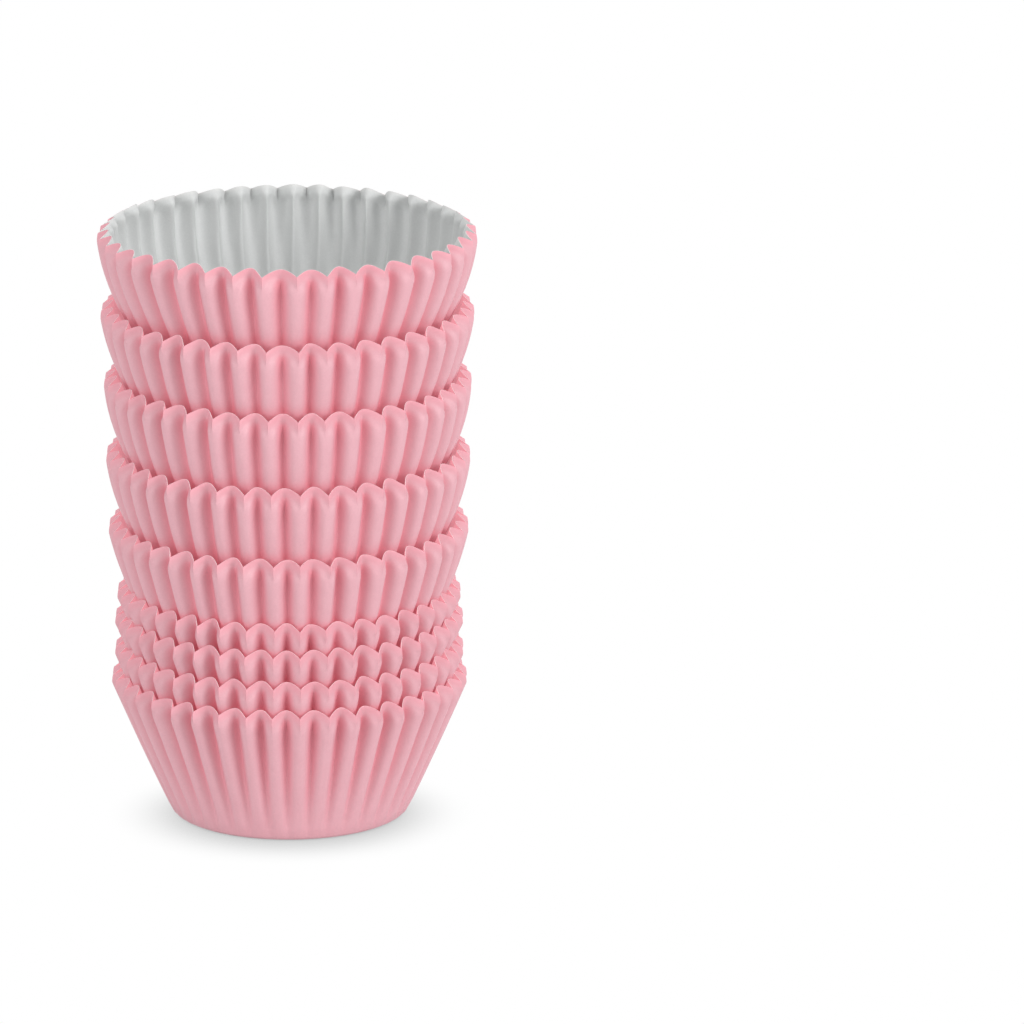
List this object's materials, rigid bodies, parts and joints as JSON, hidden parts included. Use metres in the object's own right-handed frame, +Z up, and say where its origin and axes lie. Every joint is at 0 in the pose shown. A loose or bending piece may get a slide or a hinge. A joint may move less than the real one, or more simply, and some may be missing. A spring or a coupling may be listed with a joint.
{
  "type": "stack of cupcake liners",
  "caption": "Upright stack of round pleated paper baking cups, pink outside and pale grey inside, each standing in the one below; holds cake batter and is lifted off one cup at a time.",
  "frame": {"origin": "centre of the bottom liner's foot, on the surface that the stack stands on", "axes": "+Z up along the stack's axis, front faces -Y, +X to the right seen from the front"},
  "size_m": [0.0812, 0.0812, 0.1297],
  "materials": {
    "pink_paper": "matte greaseproof paper, pink outside, pale grey inside"
  },
  "bodies": {
    "root": {"liner_1": "pink_paper", "liner_2": "pink_paper", "liner_3": "pink_paper", "liner_4": "pink_paper", "liner_5": "pink_paper", "liner_6": "pink_paper", "liner_7": "pink_paper", "liner_8": "pink_paper", "liner_9": "pink_paper"}
  },
  "joints": []
}
